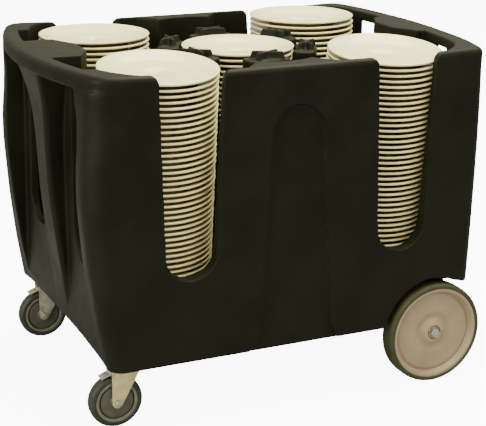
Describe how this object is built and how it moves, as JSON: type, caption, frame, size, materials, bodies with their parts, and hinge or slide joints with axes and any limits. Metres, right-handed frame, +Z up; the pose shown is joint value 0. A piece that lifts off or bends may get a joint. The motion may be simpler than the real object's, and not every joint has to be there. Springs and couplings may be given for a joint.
{
  "type": "dish caddy cart",
  "caption": "Moulded plastic cart with open corner slots that stores and carries round dinner plates in upright stacks, on large fixed wheels and braked swivel casters.",
  "frame": {"origin": "on the floor, under the middle of the cart's outline", "axes": "+X along the cart towards the fixed wheels, +Y from the near long side to the far one, +Z up"},
  "size_m": [1.064, 0.7486, 0.8284],
  "materials": {
    "tub_plastic": "satin olive-black moulded polyethylene with a fine pebbled skin",
    "divider_plastic": "satin olive-black moulded polyethylene, worn on its crest",
    "china": "glossy warm-white glaze",
    "axle_steel": "bright steel",
    "zinc": "yellowish zinc plating",
    "rear_tyre": "matt olive-grey rubber",
    "hub_plastic": "satin taupe moulded plastic",
    "bush": "plain nylon",
    "caster_rubber": "dark slate rubber tread",
    "core_plastic": "satin grey-brown plastic with a light outer ring"
  },
  "bodies": {
    "chassis": {"body_shell": "tub_plastic", "rear_axle": "axle_steel", "axle_spacer": "axle_steel", "axle_washers": "axle_steel", "axle_nuts": "axle_steel", "bracket_bolts": "axle_steel", "caster_bolts": "axle_steel", "axle_bracket_far": "zinc", "caster_plate_far": "zinc", "caster_kingpin_far": "axle_steel", "axle_bracket_near": "zinc", "caster_plate_near": "zinc", "caster_kingpin_near": "axle_steel"},
    "wheel_far": {"tyre_far": "rear_tyre", "wheel_hub_far": "hub_plastic", "wheel_bush_far": "bush"},
    "fork_far": {"caster_fork_far": "zinc", "caster_axle_far": "axle_steel", "brake_pin_far": "axle_steel"},
    "caster_wheel_far": {"caster_tread_far": "caster_rubber", "caster_core_far": "core_plastic", "caster_bush_far": "bush"},
    "brake_far": {"brake_shoe_far": "zinc"},
    "wheel_near": {"tyre_near": "rear_tyre", "wheel_hub_near": "hub_plastic", "wheel_bush_near": "bush"},
    "fork_near": {"caster_fork_near": "zinc", "caster_axle_near": "axle_steel", "brake_pin_near": "axle_steel"},
    "caster_wheel_near": {"caster_tread_near": "caster_rubber", "caster_core_near": "core_plastic", "caster_bush_near": "bush"},
    "brake_near": {"brake_shoe_near": "zinc"},
    "divider_1": {"divider_1": "divider_plastic"},
    "divider_2": {"divider_2": "divider_plastic"},
    "divider_3": {"divider_3": "divider_plastic"},
    "divider_4": {"divider_4": "divider_plastic"},
    "divider_5": {"divider_5": "divider_plastic"},
    "divider_6": {"divider_6": "divider_plastic"},
    "plates_near_caster": {"plates_near_caster": "china"},
    "plates_near_wheel": {"plates_near_wheel": "china"},
    "plates_far_caster": {"plates_far_caster": "china"},
    "plates_far_wheel": {"plates_far_wheel": "china"},
    "plates_middle": {"plates_middle": "china"}
  },
  "joints": [
    {"name": "wheel_turn_far", "type": "hinge", "parent": "chassis", "child": "wheel_far", "pos_m": [0.3876, 0.351, 0.127], "axis": [0, 1, 0], "continuous": true},
    {"name": "swivel_far", "type": "hinge", "parent": "chassis", "child": "fork_far", "pos_m": [-0.385, 0.2885, 0.15], "axis": [0, 0, 1], "continuous": true},
    {"name": "caster_turn_far", "type": "hinge", "parent": "fork_far", "child": "caster_wheel_far", "pos_m": [-0.415, 0.2885, 0.0635], "axis": [0, 1, 0], "continuous": true},
    {"name": "brake_press_far", "type": "hinge", "parent": "fork_far", "child": "brake_far", "pos_m": [-0.42481, 0.2885, 0.13331], "axis": [0, -1, 0], "range_deg": [0, 5]},
    {"name": "wheel_turn_near", "type": "hinge", "parent": "chassis", "child": "wheel_near", "pos_m": [0.3876, -0.351, 0.127], "axis": [0, 1, 0], "continuous": true},
    {"name": "swivel_near", "type": "hinge", "parent": "chassis", "child": "fork_near", "pos_m": [-0.385, -0.2885, 0.15], "axis": [0, 0, 1], "continuous": true},
    {"name": "caster_turn_near", "type": "hinge", "parent": "fork_near", "child": "caster_wheel_near", "pos_m": [-0.415, -0.2885, 0.0635], "axis": [0, 1, 0], "continuous": true},
    {"name": "brake_press_near", "type": "hinge", "parent": "fork_near", "child": "brake_near", "pos_m": [-0.42481, -0.2885, 0.13331], "axis": [0, -1, 0], "range_deg": [0, 5]},
    {"name": "divider_lift_1", "type": "slide", "parent": "chassis", "child": "divider_1", "axis": [0, 0, 1], "range_m": [0, 0.6]},
    {"name": "divider_lift_2", "type": "slide", "parent": "chassis", "child": "divider_2", "axis": [0, 0, 1], "range_m": [0, 0.6]},
    {"name": "divider_lift_3", "type": "slide", "parent": "chassis", "child": "divider_3", "axis": [0, 0, 1], "range_m": [0, 0.6]},
    {"name": "divider_lift_4", "type": "slide", "parent": "chassis", "child": "divider_4", "axis": [0, 0, 1], "range_m": [0, 0.6]},
    {"name": "divider_lift_5", "type": "slide", "parent": "chassis", "child": "divider_5", "axis": [0, 0, 1], "range_m": [0, 0.6]},
    {"name": "divider_lift_6", "type": "slide", "parent": "chassis", "child": "divider_6", "axis": [0, 0, 1], "range_m": [0, 0.6]},
    {"name": "plates_near_caster_lift", "type": "slide", "parent": "chassis", "child": "plates_near_caster", "axis": [0, 0, 1], "range_m": [0, 0.6]},
    {"name": "plates_near_wheel_lift", "type": "slide", "parent": "chassis", "child": "plates_near_wheel", "axis": [0, 0, 1], "range_m": [0, 0.6]},
    {"name": "plates_far_caster_lift", "type": "slide", "parent": "chassis", "child": "plates_far_caster", "axis": [0, 0, 1], "range_m": [0, 0.6]},
    {"name": "plates_far_wheel_lift", "type": "slide", "parent": "chassis", "child": "plates_far_wheel", "axis": [0, 0, 1], "range_m": [0, 0.6]},
    {"name": "plates_middle_lift", "type": "slide", "parent": "chassis", "child": "plates_middle", "axis": [0, 0, 1], "range_m": [0, 0.6]}
  ]
}
